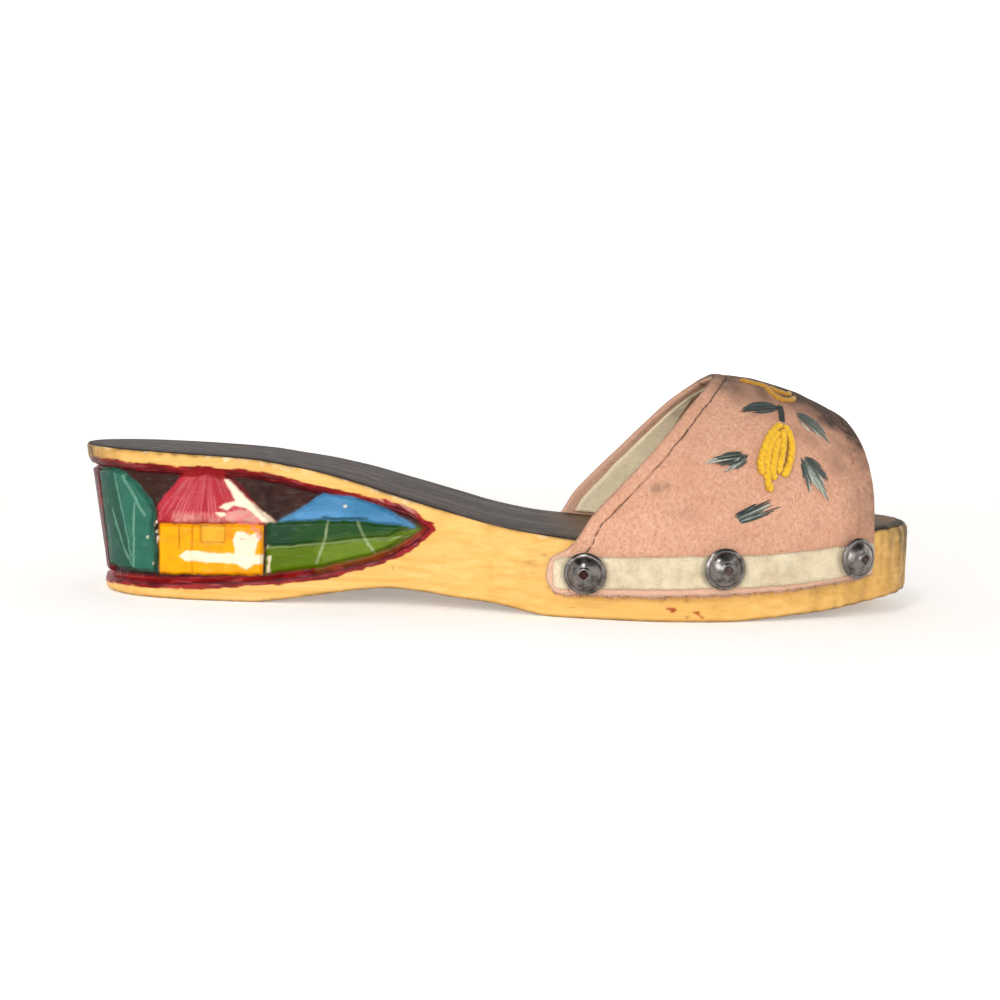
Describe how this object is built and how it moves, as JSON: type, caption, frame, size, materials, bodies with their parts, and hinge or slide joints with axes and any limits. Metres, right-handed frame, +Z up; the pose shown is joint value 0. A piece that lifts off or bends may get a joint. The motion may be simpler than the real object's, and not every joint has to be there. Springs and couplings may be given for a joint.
{
  "type": "wooden wedge sandal",
  "caption": "Right-foot wooden wedge mule: a carved and painted one-piece wooden sole with an open suede vamp nailed to its sides.",
  "frame": {"origin": "centre of the bounding box in plan, on the floor that heel and forefoot stand on", "axes": "+X towards the toe, +Y towards the medial side of the right foot, +Z up"},
  "size_m": [0.2458, 0.0968, 0.0682],
  "materials": {
    "painted_wood": "satin varnish, partly painted",
    "suede": "napped suede",
    "band_tape": "matte woven tape",
    "pewter": "dark polished, worn"
  },
  "bodies": {
    "root": {"sole": "painted_wood", "upper": "suede", "band_lateral": "band_tape", "band_medial": "band_tape", "nail_lateral_rear": "pewter", "nail_lateral_middle": "pewter", "nail_lateral_front": "pewter", "nail_medial_rear": "pewter", "nail_medial_middle": "pewter", "nail_medial_front": "pewter"}
  },
  "joints": []
}
